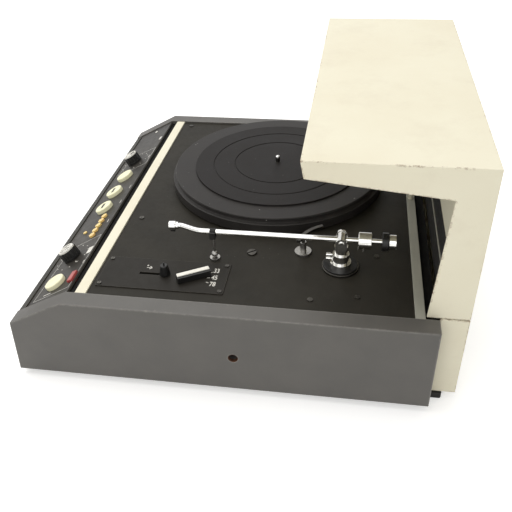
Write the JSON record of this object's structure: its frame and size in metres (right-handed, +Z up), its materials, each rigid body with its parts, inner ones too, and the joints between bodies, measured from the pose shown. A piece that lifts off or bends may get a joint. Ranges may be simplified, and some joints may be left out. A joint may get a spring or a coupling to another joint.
{
  "type": "broadcast turntable",
  "caption": "Studio turntable with a direct-drive platter, bent pick-up arm, sloping control strip and a hood that bridges the rear.",
  "frame": {"origin": "middle of the object's box, on the surface that the feet stand on", "axes": "+X to the operator's right, +Y to the rear, +Z up"},
  "size_m": [0.57, 0.5903, 0.334],
  "materials": {
    "panel_grey": "satin grey paint",
    "case_sheet": "satin black paint",
    "deck_black": "satin charcoal paint",
    "strip_black": "satin black paint",
    "cream_paint": "cream stove enamel",
    "trim_cream": "satin",
    "platter_black": "black anodised",
    "rubber_black": "matt",
    "chrome": "polished",
    "steel": "brushed",
    "rail_grey": "satin anodised",
    "black_plastic": "satin",
    "yellow_plastic": "satin",
    "red_plastic": "gloss",
    "orange_lens": "gloss",
    "smoke_plastic": "gloss",
    "brass": "turned",
    "iron": "bare",
    "board_green": "satin"
  },
  "bodies": {
    "base": {"side_panel_right": "panel_grey", "side_panel_left": "panel_grey", "bottom_and_bulkhead": "case_sheet", "front_apron": "case_sheet", "feet": "rubber_black", "strip_lip": "strip_black", "control_panel": "strip_black", "dark_channels": "strip_black", "trim_strip": "trim_cream", "indicator_lenses": "orange_lens", "control_switches": "black_plastic", "deck_plate": "deck_black", "rear_rail": "rail_grey", "deck_screws": "steel", "bearing_housing": "brass", "motor_stator": "iron", "motor_bracket": "rail_grey", "arm_base": "black_plastic", "arm_base_ring": "chrome", "arm_pillar": "chrome", "arm_collar": "chrome", "rest_post": "chrome", "rest_cradle": "black_plastic", "lift_guide": "chrome", "operating_plate": "deck_black", "hinge_fixed_leaves": "steel", "rear_housing": "cream_paint", "connector_plate": "steel", "mains_inlet": "black_plastic", "signal_socket": "steel", "mains_transformer": "iron", "circuit_boards": "board_green"},
    "platter": {"platter": "platter_black", "platter_mat": "rubber_black", "spindle": "steel", "motor_rotor": "iron"},
    "start_button": {"start_button": "yellow_plastic"},
    "stop_button": {"stop_button": "yellow_plastic"},
    "cue_button": {"cue_button": "yellow_plastic"},
    "power_button": {"power_button": "yellow_plastic"},
    "mains_key": {"mains_key": "red_plastic"},
    "level_knob": {"level_knob": "black_plastic"},
    "pitch_knob": {"pitch_knob": "black_plastic"},
    "lock_screw": {"lock_screw": "steel"},
    "arm_carrier": {"arm_fork": "chrome"},
    "tonearm": {"arm_hub": "chrome", "arm_tube": "chrome", "head_collet": "chrome", "headshell": "chrome", "cartridge": "black_plastic", "rest_sleeve": "rubber_black", "weight_rod": "chrome"},
    "main_weight": {"main_weight": "chrome"},
    "fine_weight": {"fine_weight": "black_plastic"},
    "lift": {"lift_bar": "smoke_plastic"},
    "cue_lever": {"cue_lever": "black_plastic"},
    "speed_selector": {"selector_lever": "black_plastic"},
    "hood": {"hood": "cream_paint", "hood_inner_panel": "case_sheet", "hinge_moving_leaves": "steel"}
  },
  "joints": [
    {"name": "platter_spin", "type": "hinge", "parent": "base", "child": "platter", "pos_m": [-0.065, 0.01985, 0.151], "axis": [0, 0, 1], "continuous": true},
    {"name": "arm_swing", "type": "hinge", "parent": "base", "child": "arm_carrier", "pos_m": [0.1655, 0.13185, 0.175], "axis": [0, 0, -1], "range_deg": [0, 53]},
    {"name": "arm_lift", "type": "hinge", "parent": "arm_carrier", "child": "tonearm", "pos_m": [0.1655, 0.13185, 0.175], "axis": [-1, 0, 0], "range_deg": [0, 12]},
    {"name": "main_weight_slide", "type": "slide", "parent": "tonearm", "child": "main_weight", "axis": [0, 1, 0], "range_m": [-0.006, 0.012]},
    {"name": "fine_weight_turn", "type": "hinge", "parent": "tonearm", "child": "fine_weight", "pos_m": [0.1655, 0.19385, 0.175], "axis": [0, 1, 0], "continuous": true},
    {"name": "cue_slide", "type": "slide", "parent": "base", "child": "cue_lever", "axis": [0, -1, 0], "range_m": [0, 0.032]},
    {"name": "lift_raise", "type": "slide", "parent": "base", "child": "lift", "axis": [0, 0, 1], "range_m": [0, 0.013]},
    {"name": "speed_select", "type": "hinge", "parent": "base", "child": "speed_selector", "pos_m": [0.2126, -0.05555, 0.137], "axis": [0, 0, -1], "range_deg": [0, 54]},
    {"name": "lock_turn", "type": "hinge", "parent": "base", "child": "lock_screw", "pos_m": [0.148, 0.01085, 0.131], "axis": [0, 0, 1], "range_deg": [0, 90]},
    {"name": "hood_open", "type": "hinge", "parent": "base", "child": "hood", "pos_m": [0, 0.29165, 0.1325], "axis": [-1, 0, 0], "range_deg": [0, 78]},
    {"name": "start_button_press", "type": "slide", "parent": "base", "child": "start_button", "axis": [0, 0.4657, -0.8849], "range_m": [0, 0.003], "stiffness_N_per_m": 300, "springref_m": -0.003},
    {"name": "stop_button_press", "type": "slide", "parent": "base", "child": "stop_button", "axis": [0, 0.4657, -0.8849], "range_m": [0, 0.003], "stiffness_N_per_m": 300, "springref_m": -0.003},
    {"name": "cue_button_press", "type": "slide", "parent": "base", "child": "cue_button", "axis": [0, 0.4657, -0.8849], "range_m": [0, 0.003], "stiffness_N_per_m": 300, "springref_m": -0.003},
    {"name": "power_button_press", "type": "slide", "parent": "base", "child": "power_button", "axis": [0, 0.4657, -0.8849], "range_m": [0, 0.003], "stiffness_N_per_m": 300, "springref_m": -0.003},
    {"name": "mains_key_press", "type": "slide", "parent": "base", "child": "mains_key", "axis": [0, 0.4657, -0.8849], "range_m": [0, 0.0025], "stiffness_N_per_m": 300, "springref_m": -0.003},
    {"name": "level_knob_turn", "type": "hinge", "parent": "base", "child": "level_knob", "pos_m": [-0.125, -0.24744, 0.11542], "axis": [0, -0.4657, 0.8849], "range_deg": [-150, 150]},
    {"name": "pitch_knob_turn", "type": "hinge", "parent": "base", "child": "pitch_knob", "pos_m": [0.163, -0.24744, 0.11542], "axis": [0, -0.4657, 0.8849], "range_deg": [-150, 150]}
  ],
  "couplings": [
    {"joint": "lift_raise", "follows": "cue_slide", "ratio": 0.40625}
  ]
}
